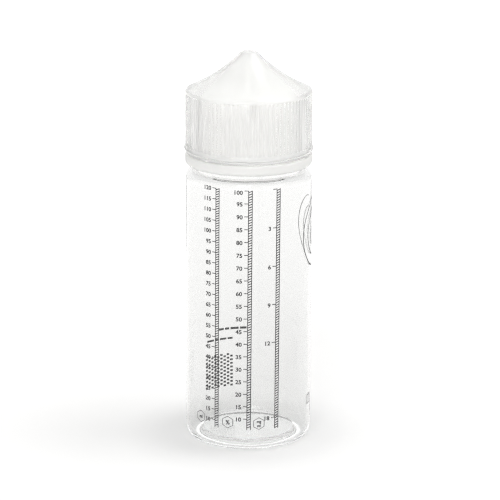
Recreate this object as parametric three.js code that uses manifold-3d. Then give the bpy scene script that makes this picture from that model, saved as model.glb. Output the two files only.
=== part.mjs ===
// A slim clear dropper bottle for liquids: a blown bottle with printed scales, a pointed dropper tip pressed
// in its neck, a child-resistant cap of an inner and an outer shell, and the tamper ring left on the neck.
// Millimetres, +Z up, origin at the middle of the foot. Azimuths are in degrees, counted from the front
// (-Y) towards +X.
import * as THREE from 'three';
import { mergeVertices } from 'three/addons/utils/BufferGeometryUtils.js';
import Module from 'manifold-3d';

// Bottle body
const BODY_RADIUS = 21.5;
const BODY_WALL = 0.73;
const WALL_TOP = 92.0; // where the straight side turns into the shoulder
const SHOULDER_RISE = 3.2;
const HEEL_HEIGHT = 4.0;
const HEEL_REACH = 3.2;
const FOOT_WIDTH = 1.2; // the flat ring that it stands on
const PUNT_RISE = 2.6;
const PUNT_SAG = 0.87; // how much lower the punt's edge is than its middle
const PUNT_ROUND = 1.5;
const FLOOR_THICKNESS = 1.1;

// Bottle neck
const NECK_INSET = 4.1; // from the body's side in to the barrel that carries the thread
const NECK_WALL = 1.7;
const NECK_HEIGHT = 22.4; // from the shoulder's top to the rim
const ROOT_STEP = 1.1; // how far the neck's root stands out of the barrel
const BEAD_STEP = 1.3; // how far the retaining bead stands out of the root
const BEAD_LIFT = 3.4; // from the shoulder's top to the bead's underside
const BEAD_HEIGHT = 1.1;
const BEAD_CHAMFER = 0.27;
const BEAD_SLOPE = 0.55; // height of the slope from the bead's top in to the barrel

// Tamper ring
const RING_LIFT = 1.4; // from the shoulder's top to the ring's foot
const RING_HEIGHT = 3.7;
const RING_WALL = 1.57; // outside the room for the bead
const RING_FOOT_REACH = 1.45; // how far its foot is rounded in
const RING_FOOT_ROUND = 1.6;
const RING_TOP_ROUND = 0.8;
const RING_CLEARANCE = 0.3;

// Dropper tip
const TIP_CLEARANCE = 0.3; // between its plug and the bore
const TIP_WALL = 1.0;
const TIP_CHAMFER = 0.5;
const TIP_PLUG_DEPTH = 5.0;
const TIP_FLANGE = 1.0;
const TIP_FLANGE_INSET = 0.2; // how far the flange stays inside the rim's edge
const TIP_FLANGE_CHAMFER = 0.25;
const SPOUT_HEIGHT = 9.0;
const SPOUT_ROOT_RADIUS = 2.4;
const SPOUT_RADIUS = 1.2;
const SPOUT_TAPER = 5.4; // height of the tapered root
const SPOUT_WAIST_RADIUS = 1.65;
const SPOUT_WAIST_LIFT = 2.2;
const SPOUT_ROUND = 0.22;
const SPOUT_BORE = 0.45;
const SPOUT_MOUTH = 1.2; // radius of the funnel that leads into the bore
const SPOUT_FUNNEL_LIFT = 2.7;

// Inner cap
const THREAD_ROOM = 1.2; // radial room for the thread between the neck and the skirt
const SKIRT_WALL = 1.1;
const SKIRT_FOOT_GAP = 1.6; // between the tamper ring's top and the skirt's foot
const CROWN_CLEARANCE = 0.3; // round the flange of the dropper tip
const CROWN_WALL = 1.0;
const LEDGE_DROP = 1.0; // the toothed ledge lies this far under the rim
const DISC_LIFT = 1.2; // from the tip's flange to the underside of the disc
const DISC_THICKNESS = 1.3;
const CROWN_EDGE_REACH = 4.0; // how far the sloping edge runs in to the flat top
const CROWN_EDGE_DROP = 1.7;
const CROWN_CORNER_DROP = 0.85;
const SEAL_GAP = 0.3;
const SEAL_INSET = 1.2; // from the flat top's edge in to the middle of the seal
const SEAL_WIDTH = 1.0;
const SEAL_TIP_WIDTH = 0.5;
const SPIRE_CLEARANCE = 0.32;
const SPIRE_WALL = 0.5;
const SPIRE_ROOT_SWELL = 0.17;
const SPIRE_CROWN = 0.9; // solid stretch above the spout's room
const NIB_RADIUS = 1.15;
const NIB_HEIGHT = 3.3;
const TOOTH_COUNT = 12;
const TOOTH_HEIGHT = 0.6;
const TOOTH_WIDTH = 1.6;
const TOOTH_INSET = 0.15;

// Outer cap
const TURN_CLEARANCE = 0.45; // radial, between the two shells
const SHELL_WALL = 1.1;
const RIB_COUNT = 88;
const RIB_DEPTH = 0.29;
const RIB_TIP_SHARE = 0.34; // share of the pitch on the tips
const RIB_VALLEY_SHARE = 0.3;
const RIB_SEAT = 0.15; // how deep the ribs are rooted in the wall
const EDGE_PROUD = 0.06; // how far the smooth edges stand out of the ribs
const SHELL_FOOT_GAP = 0.3; // above the tamper ring
const FOOT_LIP_HEIGHT = 0.75;
const FOOT_LIP_PROUD = 0.05; // outside the valleys between the ribs
const CAP_BEAD_PROUD = 0.45; // outside the ribs
const CAP_BEAD_ROUND = 0.3;
const CAP_BEAD_LEVEL = 1.65; // from the shell's foot to the bead's widest line
const RIB_FOOT_LEVEL = 2.5;
const RETAINER_HEIGHT = 0.9; // the lip that holds the inner cap
const RETAINER_OVERLAP = 0.4;
const DOME_EDGE_RISE = 0.2; // the dome's edge above the inner cap's flat top
const EDGE_ROUND = 1.22;
const EDGE_SLOPE = 23.6; // degrees
const FLANK_RADIUS = 56.75;
const TIP_FLAT = 1.0;
const TIP_ROUND = 3.15;
const LUG_COUNT = 6;
const LUG_AZIMUTH = 5.2;
const LUG_WIDTH = 1.7;
const LUG_DEPTH = 1.3;
const LUG_AXIAL_CLEARANCE = 0.4;
const LUG_SEAT = 0.55; // how deep lugs and webs are rooted in the wall
const WEB_WIDTH = 0.8;
const WEB_DEPTH = 0.7;

// Printed scales on the body
const INK_LIFT = 0.02;
const INK_THICKNESS = 0.1;
const BAR_WIDTH = 1.5;
const RAIL_WIDTH = 0.26;
const RUNG_WIDTH = 0.24;
const TICK_LENGTH = 1.25;
const PRINT_LEAN = 1.25; // degrees that the print turns from its top to its foot
const BAR_FOOT = 7.9;
const VOLUME_AZIMUTH = -28.9;
const VOLUME_TOP = 92.2;
const VOLUME_STEP = 3.71; // for 5 ml
const VOLUME_TICKS = 23;
const PERCENT_AZIMUTH = 1.7;
const PERCENT_TOP = 92.0;
const PERCENT_STEP = 4.456; // for 5 %
const PERCENT_TICKS = 19;
const STRENGTH_AZIMUTH = 27.8;
const STRENGTH_TOP = 92.2;
const STRENGTH_STEP = 13.37; // for 3 mg
const STRENGTH_STEPS = [0, 1, 2, 3, 4, 6]; // the fifth step has no tick
const BADGE_RADIUS = 2.2;
const BADGE_LINE = 0.24;
const VOLUME_BADGE = [-47.5, 10.5];
const PERCENT_BADGE = [-17.7, 10.35];
const STRENGTH_BADGE = [11.1, 10.1];

// Looks
const CLEAR_BOTTLE = { color: 0xf1f2f1, roughness: 0.06, opacity: 0.25, transparent: true };
const CLEAR_CAP = { color: 0xf1f2f1, roughness: 0.15, opacity: 0.4, transparent: true };
const MILKY_RING = { color: 0xeeeeea, roughness: 0.3, opacity: 0.6, transparent: true };
const MILKY_PLASTIC = { color: 0xeeeeea, roughness: 0.35, opacity: 0.7, transparent: true };
const INK = { color: 0x3f3f40, roughness: 0.5 };

// How finely round things are turned
const SEGMENTS = 48;
const TIP_SEGMENTS = 32;
const ARC_STEPS = 5;

// Levels and radii that follow from the sizes above
const shoulderTop = WALL_TOP + SHOULDER_RISE;
const rimLevel = shoulderTop + NECK_HEIGHT;
const neckRadius = BODY_RADIUS - NECK_INSET;
const rootRadius = neckRadius + ROOT_STEP;
const beadRadius = rootRadius + BEAD_STEP;
const boreRadius = neckRadius - NECK_WALL;
const beadRoom = beadRadius + RING_CLEARANCE;
const ringRadius = beadRoom + RING_WALL;
const ringFoot = shoulderTop + RING_LIFT;
const ringTop = ringFoot + RING_HEIGHT;
const flangeRadius = neckRadius - TIP_FLANGE_INSET;
const flangeTop = rimLevel + TIP_FLANGE;
const spoutTop = flangeTop + SPOUT_HEIGHT;
const skirtInner = neckRadius + THREAD_ROOM;
const skirtOuter = skirtInner + SKIRT_WALL;
const skirtFoot = ringTop + SKIRT_FOOT_GAP;
const crownInner = flangeRadius + CROWN_CLEARANCE;
const crownOuter = crownInner + CROWN_WALL;
const discRadius = crownOuter - CROWN_EDGE_REACH;
const sealRadius = discRadius - SEAL_INSET;
const ledgeLevel = rimLevel - LEDGE_DROP;
const discUnder = flangeTop + DISC_LIFT;
const discTop = discUnder + DISC_THICKNESS;
const shellInner = skirtOuter + TURN_CLEARANCE;
const ribValley = shellInner + SHELL_WALL;
const ribTip = ribValley + RIB_DEPTH;
const edgeRadius = ribTip + EDGE_PROUD;
const footLipRadius = ribValley + FOOT_LIP_PROUD;
const capBeadRadius = ribTip + CAP_BEAD_PROUD;
const shellFoot = ringTop + SHELL_FOOT_GAP;
const domeEdge = discTop + DOME_EDGE_RISE;

const wasm = await Module();
wasm.setup();

// Outlines are lists of [radius, height] points.
function arc(radius, height, reach, rise, from, to, steps = ARC_STEPS) {
  const points = [];
  for (let i = 0; i <= steps; i++) {
    const angle = THREE.MathUtils.degToRad(from + ((to - from) * i) / steps);
    points.push([radius + reach * Math.cos(angle), height + rise * Math.sin(angle)]);
  }
  return points;
}

function turned(outline, segments = SEGMENTS) {
  const points = outline.map(([radius, height]) => new THREE.Vector2(radius, height));
  const geometry = new THREE.LatheGeometry(points, segments);
  geometry.rotateX(Math.PI / 2);
  return geometry;
}

function solid(geometry) {
  const bare = geometry.clone();
  bare.deleteAttribute('normal');
  bare.deleteAttribute('uv');
  const merged = mergeVertices(bare, 1e-4);
  const index = merged.getIndex().array;
  const triangles = [];
  for (let i = 0; i < index.length; i += 3) {
    const [a, b, c] = [index[i], index[i + 1], index[i + 2]];
    if (a !== b && b !== c && c !== a) triangles.push(a, b, c);
  }
  const vertProperties = new Float32Array(merged.getAttribute('position').array);
  const triVerts = new Uint32Array(triangles);
  return new wasm.Manifold(new wasm.Mesh({ numProp: 3, vertProperties, triVerts }));
}

function geometryOf(manifold) {
  const { vertProperties, triVerts } = manifold.getMesh();
  const geometry = new THREE.BufferGeometry();
  geometry.setAttribute('position', new THREE.BufferAttribute(new Float32Array(vertProperties), 3));
  geometry.setIndex(new THREE.BufferAttribute(new Uint32Array(triVerts), 1));
  const faceted = geometry.toNonIndexed();
  faceted.computeVertexNormals();
  return faceted;
}

// A plate that stands on a meridian: its outline in [radius, height], its width across the meridian.
function meridianPlate(outline, width, azimuth) {
  const shape = new THREE.Shape(outline.map(([radius, height]) => new THREE.Vector2(radius, height)));
  const geometry = new THREE.ExtrudeGeometry(shape, { depth: width, bevelEnabled: false });
  geometry.translate(0, 0, -width / 2);
  geometry.rotateX(Math.PI / 2);
  geometry.rotateZ(THREE.MathUtils.degToRad(azimuth - 90));
  return geometry;
}

function piece(name, geometry, look) {
  const mesh = new THREE.Mesh(geometry, new THREE.MeshStandardMaterial({ metalness: 0, ...look }));
  mesh.name = name;
  return mesh;
}

// The blown bottle: a raised punt inside a flat standing ring, a rounded heel and shoulder, and a neck
// with a root, a retaining bead and a plain barrel up to the rim.
function bottle() {
  const heelRadius = BODY_RADIUS - HEEL_REACH;
  const puntRadius = heelRadius - FOOT_WIDTH;
  const inner = BODY_RADIUS - BODY_WALL;
  const puntSpan = puntRadius - PUNT_ROUND;
  const puntDome = (share) => PUNT_RISE - PUNT_SAG * share * share;
  const shares = Array.from({ length: ARC_STEPS }, (_, i) => i / (ARC_STEPS - 1));
  const under = shares.map((share) => [puntSpan * share, puntDome(share)]);
  const puntEdge = puntDome(1);
  const beadFoot = shoulderTop + BEAD_LIFT;
  const beadTop = beadFoot + BEAD_HEIGHT;
  const shoulderReach = BODY_RADIUS - rootRadius;
  const innerReach = inner - boreRadius;
  const innerRise = SHOULDER_RISE - BODY_WALL / 2;
  const outside = [
    ...under,
    ...arc(puntSpan, 0, PUNT_ROUND, puntEdge, 90, 0, 4).slice(1),
    ...arc(heelRadius, HEEL_HEIGHT, HEEL_REACH, HEEL_HEIGHT, -90, 0, 6),
    ...arc(rootRadius, WALL_TOP, shoulderReach, SHOULDER_RISE, 0, 90, 6),
    [rootRadius, beadFoot],
    [beadRadius, beadFoot + BEAD_CHAMFER],
    [beadRadius, beadTop - BEAD_CHAMFER],
    [neckRadius, beadTop + BEAD_SLOPE],
    [neckRadius, rimLevel],
  ];
  const inside = [
    [boreRadius, rimLevel],
    [boreRadius, shoulderTop],
    ...arc(boreRadius, WALL_TOP - BODY_WALL, innerReach, innerRise, 90, 0, 5).slice(1),
    ...arc(heelRadius, HEEL_HEIGHT, inner - heelRadius, HEEL_HEIGHT - FLOOR_THICKNESS, 0, -90, 5),
    [puntRadius - PUNT_ROUND / 2, FLOOR_THICKNESS + puntEdge / 2],
    ...under.reverse().map(([radius, height]) => [radius, height + FLOOR_THICKNESS]),
  ];
  return turned([...outside, ...inside]);
}

// The tamper ring: its hook passes under the neck's bead, so it stays when the cap is taken off.
function tamperRing() {
  const hookRadius = rootRadius + RING_CLEARANCE;
  const beadFoot = shoulderTop + BEAD_LIFT;
  const hookTop = beadFoot - RING_CLEARANCE;
  const footRound = ringFoot + RING_FOOT_ROUND;
  const outline = [
    [hookRadius, ringFoot],
    ...arc(ringRadius - RING_FOOT_REACH, footRound, RING_FOOT_REACH, RING_FOOT_ROUND, -90, 0, 6),
    ...arc(ringRadius - RING_TOP_ROUND, ringTop - RING_TOP_ROUND, RING_TOP_ROUND, RING_TOP_ROUND, 0, 90, 4),
    [beadRoom, ringTop],
    [beadRoom, hookTop],
    [hookRadius, hookTop - RING_CLEARANCE],
    [hookRadius, ringFoot],
  ];
  return turned(outline);
}

// The dropper tip: a plug in the bore, a flange on the rim and a long thin spout with a hole through it.
function dropperTip() {
  const plugRadius = boreRadius - TIP_CLEARANCE;
  const plugFoot = rimLevel - TIP_PLUG_DEPTH;
  const outline = [
    [plugRadius - TIP_WALL, plugFoot],
    [plugRadius - TIP_CHAMFER, plugFoot],
    [plugRadius, plugFoot + TIP_CHAMFER],
    [plugRadius, rimLevel],
    [flangeRadius, rimLevel],
    [flangeRadius, flangeTop - TIP_FLANGE_CHAMFER],
    [flangeRadius - TIP_FLANGE_CHAMFER, flangeTop],
    [SPOUT_ROOT_RADIUS, flangeTop],
    [SPOUT_WAIST_RADIUS, flangeTop + SPOUT_WAIST_LIFT],
    [SPOUT_RADIUS, flangeTop + SPOUT_TAPER],
    ...arc(SPOUT_RADIUS - SPOUT_ROUND, spoutTop - SPOUT_ROUND, SPOUT_ROUND, SPOUT_ROUND, 0, 90, 3),
    [SPOUT_BORE, spoutTop],
    [SPOUT_BORE, flangeTop + SPOUT_FUNNEL_LIFT],
    [SPOUT_MOUTH, rimLevel],
    [plugRadius - TIP_WALL, rimLevel],
    [plugRadius - TIP_WALL, plugFoot],
  ];
  return turned(outline, TIP_SEGMENTS);
}

// The inner cap: a skirt round the neck, a toothed ledge, a crown over the flange and a hollow spire
// over the spout, with a nib on its end.
function innerCap() {
  const roomRadius = SPOUT_RADIUS + SPIRE_CLEARANCE;
  const roomRoot = SPOUT_ROOT_RADIUS + SPIRE_CLEARANCE;
  const roomTaper = flangeTop + SPOUT_TAPER;
  const roomTop = spoutTop + SEAL_GAP;
  const spireTop = roomTop + SPIRE_CROWN;
  const spireRadius = roomRadius + SPIRE_WALL;
  const sealFoot = flangeTop + SEAL_GAP;
  const outline = [
    [0, roomTop],
    [roomRadius, roomTop],
    [roomRadius, roomTaper],
    [roomRoot, discUnder],
    [sealRadius - SEAL_WIDTH / 2, discUnder],
    [sealRadius - SEAL_TIP_WIDTH / 2, sealFoot],
    [sealRadius + SEAL_TIP_WIDTH / 2, sealFoot],
    [sealRadius + SEAL_WIDTH / 2, discUnder],
    [discRadius, discUnder],
    [crownInner, discUnder - CROWN_CORNER_DROP],
    [crownInner, ledgeLevel],
    [skirtInner, ledgeLevel - SKIRT_WALL],
    [skirtInner, skirtFoot],
    [skirtOuter, skirtFoot],
    [skirtOuter, ledgeLevel],
    [crownOuter, ledgeLevel],
    [crownOuter, discTop - CROWN_EDGE_DROP],
    [discRadius, discTop],
    [roomRoot + SPIRE_WALL, discTop],
    [spireRadius + SPIRE_ROOT_SWELL, roomTaper],
    [spireRadius, spireTop - SPIRE_WALL],
    [spireRadius - SPIRE_WALL, spireTop],
    [NIB_RADIUS, spireTop],
    ...arc(0, spireTop + NIB_HEIGHT - NIB_RADIUS, NIB_RADIUS, NIB_RADIUS, 0, 90, 3),
  ];
  let cap = solid(turned(outline));
  const toothOutline = [
    [crownOuter - TOOTH_INSET, ledgeLevel - TOOTH_INSET],
    [skirtOuter - TOOTH_INSET, ledgeLevel - TOOTH_INSET],
    [skirtOuter - TOOTH_INSET, ledgeLevel + TOOTH_HEIGHT],
    [crownOuter - TOOTH_INSET, ledgeLevel + TOOTH_HEIGHT],
  ];
  for (let i = 0; i < TOOTH_COUNT; i++) {
    const azimuth = LUG_AZIMUTH + ((i + 0.5) * 360) / TOOTH_COUNT;
    cap = cap.add(solid(meridianPlate(toothOutline, TOOTH_WIDTH, azimuth)));
  }
  return geometryOf(cap);
}

// The dome of the outer cap: a rounded edge, a hollow flank on a large arc, and a blunt rounded tip.
const edgeSine = Math.sin(THREE.MathUtils.degToRad(EDGE_SLOPE));
const edgeCosine = Math.cos(THREE.MathUtils.degToRad(EDGE_SLOPE));
const flankFoot = edgeRadius - EDGE_ROUND * (1 - edgeSine);
const flankCentreRadius = flankFoot + FLANK_RADIUS * edgeSine;
const flankCentreLevel = domeEdge + (EDGE_ROUND + FLANK_RADIUS) * edgeCosine;
const tipSine = (edgeSine + (flankFoot - TIP_FLAT) / FLANK_RADIUS) / (1 + TIP_ROUND / FLANK_RADIUS);
const flankHead = TIP_FLAT + TIP_ROUND * tipSine;

function flankLevel(radius, depth) {
  const reach = flankCentreRadius - radius;
  return flankCentreLevel - Math.sqrt((FLANK_RADIUS + depth) ** 2 - reach ** 2);
}

function flank(from, to, depth, steps = 7) {
  const points = [];
  for (let i = 0; i <= steps; i++) {
    const radius = from + ((to - from) * i) / steps;
    points.push([radius, flankLevel(radius, depth)]);
  }
  return points;
}

function domeOutside() {
  const slope = THREE.MathUtils.radToDeg(Math.asin(tipSine));
  const tipTop = flankLevel(flankHead, 0) + TIP_ROUND * (1 - Math.cos(Math.asin(tipSine)));
  return [
    ...arc(edgeRadius - EDGE_ROUND, domeEdge, EDGE_ROUND, EDGE_ROUND, 0, 90 - EDGE_SLOPE, 4),
    ...flank(flankFoot, flankHead, 0).slice(1),
    ...arc(TIP_FLAT, tipTop - TIP_ROUND, TIP_ROUND, TIP_ROUND, 90 - slope, 90, 4).slice(1),
    [0, tipTop],
  ];
}

// The outer cap: a shell that turns freely over the inner cap, with fine ribs for grip, a bead at its
// foot, a lip that retains the inner cap, and six lugs that meet the teeth when it is pressed down.
function outerCap() {
  const ceilingRadius = flankHead - SHELL_WALL * tipSine;
  const ribFoot = shellFoot + RIB_FOOT_LEVEL;
  const core = ribValley - RIB_SEAT;
  const beadLevel = shellFoot + CAP_BEAD_LEVEL;
  const lipTop = shellFoot + FOOT_LIP_HEIGHT;
  const retainerRadius = skirtOuter - RETAINER_OVERLAP;
  const retainerTop = shellFoot + RETAINER_HEIGHT;
  const outline = [
    [0, flankLevel(ceilingRadius, SHELL_WALL)],
    ...flank(ceilingRadius, shellInner, SHELL_WALL),
    [shellInner, retainerTop + RETAINER_OVERLAP],
    [retainerRadius, retainerTop],
    [retainerRadius, shellFoot],
    [footLipRadius, shellFoot],
    [footLipRadius, lipTop],
    ...arc(capBeadRadius - CAP_BEAD_ROUND, beadLevel, CAP_BEAD_ROUND, CAP_BEAD_ROUND, -60, 60, 4),
    [edgeRadius, ribFoot],
    [core, ribFoot],
    [core, domeEdge],
    ...domeOutside(),
  ];
  let cap = solid(turned(outline)).add(solid(ribSleeve(core, ribFoot)));
  const lugFoot = ledgeLevel + TOOTH_HEIGHT + LUG_AXIAL_CLEARANCE;
  const lugInner = shellInner - LUG_DEPTH;
  const lugOutline = [
    [lugInner, lugFoot],
    [shellInner + LUG_SEAT, lugFoot],
    [shellInner + LUG_SEAT, flankLevel(shellInner + LUG_SEAT, SHELL_WALL - LUG_SEAT)],
    [lugInner, flankLevel(lugInner, SHELL_WALL - LUG_SEAT)],
  ];
  const webOutline = [
    ...flank(shellInner, ceilingRadius, SHELL_WALL + WEB_DEPTH),
    ...flank(ceilingRadius, shellInner, SHELL_WALL - LUG_SEAT),
  ];
  for (let i = 0; i < LUG_COUNT; i++) {
    const azimuth = LUG_AZIMUTH + (i * 360) / LUG_COUNT;
    cap = cap.add(solid(meridianPlate(lugOutline, LUG_WIDTH, azimuth)));
    cap = cap.add(solid(meridianPlate(webOutline, WEB_WIDTH, azimuth)));
  }
  return geometryOf(cap);
}

function ribSleeve(core, ribFoot) {
  const outline = [];
  const pitch = 360 / RIB_COUNT;
  const slopeShare = (1 - RIB_TIP_SHARE - RIB_VALLEY_SHARE) / 2;
  const corners = [
    [0, ribTip],
    [RIB_TIP_SHARE, ribTip],
    [RIB_TIP_SHARE + slopeShare, ribValley],
    [RIB_TIP_SHARE + slopeShare + RIB_VALLEY_SHARE, ribValley],
  ];
  for (let i = 0; i < RIB_COUNT; i++) {
    for (const [share, radius] of corners) {
      const angle = THREE.MathUtils.degToRad((i + share) * pitch);
      outline.push(new THREE.Vector2(radius * Math.cos(angle), radius * Math.sin(angle)));
    }
  }
  const shape = new THREE.Shape(outline);
  const hole = new THREE.Path();
  const holeRadius = (shellInner + core) / 2;
  hole.absarc(0, 0, holeRadius, 0, Math.PI * 2, true);
  shape.holes.push(hole);
  const options = { depth: domeEdge - ribFoot, bevelEnabled: false, curveSegments: SEGMENTS / 2 };
  const geometry = new THREE.ExtrudeGeometry(shape, options);
  geometry.translate(0, 0, ribFoot);
  return geometry;
}

// Ink: a thin flat layer in [along the girth, height], laid on the body's wall at an azimuth.
function wrapped(geometry, azimuth) {
  const position = geometry.getAttribute('position');
  for (let i = 0; i < position.count; i++) {
    const height = position.getY(i);
    const lean = THREE.MathUtils.degToRad((PRINT_LEAN * (WALL_TOP - height)) / (WALL_TOP - BAR_FOOT));
    const angle = THREE.MathUtils.degToRad(azimuth) + position.getX(i) / BODY_RADIUS - lean;
    const radius = BODY_RADIUS + INK_LIFT + position.getZ(i);
    position.setXYZ(i, radius * Math.sin(angle), -radius * Math.cos(angle), height);
  }
  geometry.computeVertexNormals();
  return geometry;
}

function stroke(left, right, foot, top) {
  const geometry = new THREE.BoxGeometry(right - left, top - foot, INK_THICKNESS);
  geometry.translate((left + right) / 2, (foot + top) / 2, INK_THICKNESS / 2);
  return solid(geometry);
}

// A scale: a bar of two rails, with a rung and a tick at each marked height.
function scale(levels, azimuth) {
  const half = BAR_WIDTH / 2;
  const rung = RUNG_WIDTH / 2;
  const top = levels[0];
  let bar = stroke(-half, -half + RAIL_WIDTH, BAR_FOOT, top);
  bar = bar.add(stroke(half - RAIL_WIDTH, half, BAR_FOOT, top));
  bar = bar.add(stroke(-half, half, BAR_FOOT, BAR_FOOT + RUNG_WIDTH));
  for (const level of levels) {
    bar = bar.add(stroke(-half - TICK_LENGTH, half, level - rung, level + rung));
  }
  return wrapped(geometryOf(bar), azimuth);
}

// A badge: the outline of a hexagon that stands on its point, at an azimuth and a height.
function badge([azimuth, height]) {
  const corner = (radius, i) => {
    const angle = THREE.MathUtils.degToRad(30 + 60 * i);
    return new THREE.Vector2(radius * Math.cos(angle), height + radius * Math.sin(angle));
  };
  const sides = [0, 1, 2, 3, 4, 5];
  const shape = new THREE.Shape(sides.map((i) => corner(BADGE_RADIUS, i)));
  shape.holes.push(new THREE.Path(sides.map((i) => corner(BADGE_RADIUS - BADGE_LINE, i)).reverse()));
  const geometry = new THREE.ExtrudeGeometry(shape, { depth: INK_THICKNESS, bevelEnabled: false });
  return wrapped(geometry, azimuth);
}

const volumeLevels = Array.from({ length: VOLUME_TICKS }, (_, i) => VOLUME_TOP - i * VOLUME_STEP);
const percentLevels = Array.from({ length: PERCENT_TICKS }, (_, i) => PERCENT_TOP - i * PERCENT_STEP);
const strengthLevels = STRENGTH_STEPS.map((step) => STRENGTH_TOP - step * STRENGTH_STEP);

const bottleGroup = new THREE.Group();
bottleGroup.add(piece('bottle', bottle(), CLEAR_BOTTLE));
bottleGroup.add(piece('tamper_ring', tamperRing(), MILKY_RING));
bottleGroup.add(piece('dropper_tip', dropperTip(), MILKY_PLASTIC));
bottleGroup.add(piece('volume_scale', scale(volumeLevels, VOLUME_AZIMUTH), INK));
bottleGroup.add(piece('percent_scale', scale(percentLevels, PERCENT_AZIMUTH), INK));
bottleGroup.add(piece('strength_scale', scale(strengthLevels, STRENGTH_AZIMUTH), INK));
bottleGroup.add(piece('volume_badge', badge(VOLUME_BADGE), INK));
bottleGroup.add(piece('percent_badge', badge(PERCENT_BADGE), INK));
bottleGroup.add(piece('strength_badge', badge(STRENGTH_BADGE), INK));

const capGroup = new THREE.Group();
capGroup.add(piece('inner_cap', innerCap(), MILKY_PLASTIC));
capGroup.add(piece('outer_cap', outerCap(), CLEAR_CAP));

const dropperBottle = new THREE.Group();
dropperBottle.add(bottleGroup);
dropperBottle.add(capGroup);

export default dropperBottle;
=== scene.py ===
# A slim clear dropper bottle with printed scales under a ribbed, pointed, child-resistant cap, on a pale
# floor in soft studio light. Sizes are in millimetres and azimuths in degrees from the front towards +X.
import math

import bpy
from mathutils import Matrix, Vector


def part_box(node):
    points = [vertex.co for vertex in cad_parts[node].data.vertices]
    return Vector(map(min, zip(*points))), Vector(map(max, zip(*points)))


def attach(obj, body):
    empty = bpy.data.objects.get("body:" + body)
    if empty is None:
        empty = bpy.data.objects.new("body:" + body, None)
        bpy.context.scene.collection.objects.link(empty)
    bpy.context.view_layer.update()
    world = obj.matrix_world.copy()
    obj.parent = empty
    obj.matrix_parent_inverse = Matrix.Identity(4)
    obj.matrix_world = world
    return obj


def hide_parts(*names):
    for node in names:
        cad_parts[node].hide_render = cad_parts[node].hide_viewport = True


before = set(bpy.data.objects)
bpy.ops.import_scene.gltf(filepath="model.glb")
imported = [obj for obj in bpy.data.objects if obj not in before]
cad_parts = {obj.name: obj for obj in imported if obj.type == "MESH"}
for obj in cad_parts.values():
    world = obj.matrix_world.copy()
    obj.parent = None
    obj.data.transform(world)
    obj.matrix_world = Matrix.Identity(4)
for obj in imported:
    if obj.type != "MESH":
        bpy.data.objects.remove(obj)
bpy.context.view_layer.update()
MM = 0.001


def reach(node):
    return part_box(node)[1].x / MM


def foot(node):
    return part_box(node)[0].z / MM


def top(node):
    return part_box(node)[1].z / MM


# Levels and radii taken from the frame
BODY_RADIUS = reach("bottle")
RIM_LEVEL = top("bottle")
RING_RADIUS = reach("tamper_ring")
RING_FOOT = foot("tamper_ring")
RING_TOP = top("tamper_ring")
FLANGE_RADIUS = reach("dropper_tip")
PLUG_FOOT = foot("dropper_tip")
SPOUT_TOP = top("dropper_tip")
SKIRT_OUTER = reach("inner_cap")
SKIRT_FOOT = foot("inner_cap")
NIB_TOP = top("inner_cap")
CAP_BEAD = reach("outer_cap")
SHELL_FOOT = foot("outer_cap")
CAP_TOP = top("outer_cap")

# Small round on moulded edges
EDGE_FILLET = 0.3

# Bottle
BODY_WALL = 0.73
SHOULDER_RISE = 3.2
SHOULDER_TOP = 95.2
SHOULDER_INSET = 0.7
WALL_TOP = SHOULDER_TOP - SHOULDER_RISE
WALL_ROWS = 12
HEEL_HEIGHT = 4.0
HEEL_REACH = 3.2
FOOT_WIDTH = 1.2
PUNT_RISE = 2.6
PUNT_ROUND = 1.5
PUNT_ROWS = 8
PUNT_FLARE = ((0.2, 0.12), (0.8, 0.62))
FLOOR_THICKNESS = 1.1
NECK_RADIUS = 17.4
NECK_FLARE = 0.15
NECK_FLARE_RISE = 0.45
NECK_FOOT_RISE = 0.8
BORE_RADIUS = 15.7
BORE_FOOT_RISE = 0.6
BORE_STEP_DROP = 1.0
ROOT_RADIUS = 18.5
ROOT_BORE = 18.0
ROOT_BORE_RISE = 0.3
ROOT_FOOT_RISE = 0.4
ROOT_HEAD_DROP = 0.1
BEAD_STEP = 1.3
BEAD_LIFT = 3.4
BEAD_FOOT = SHOULDER_TOP + BEAD_LIFT
BEAD_HEIGHT = 1.1
BEAD_ROUND = 0.3
BEAD_ROUND_RISE = 0.35
BEAD_ROUND_LEVEL = 0.4
THREAD_DEPTH = 0.75
THREAD_PITCH = 4.0
THREAD_TURNS = 1.6
THREAD_FOOT = 103.5
THREAD_WIDTH = 1.5
THREAD_CREST = 0.35
THREAD_SEAT = 0.05
THREAD_FADE = 10
THREAD_STEPS = 96

# Tamper ring
RING_FOOT_REACH = 1.45
RING_FOOT_ROUND = 1.6
RING_FOOT_BEVEL = 0.15
RING_TOP_ROUND = 0.8
RING_TOP_BEVEL = 0.12
RING_CLEARANCE = 0.3

# Dropper tip
TIP_FLANGE = 1.0
TIP_WALL = 1.0
PLUG_CLEARANCE = 0.3
PLUG_BEVEL = 0.5
SPOUT_ROOT_RADIUS = 2.4
SPOUT_ROOT_FILLET = 0.4
SPOUT_ROOT_RISE = 0.35
SPOUT_RADIUS = 1.2
SPOUT_TAPER = 5.4
SPOUT_WAIST = 0.25
SPOUT_CURVE = 1.6
SPOUT_BORE = 0.45
SPOUT_ROWS = 8

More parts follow.
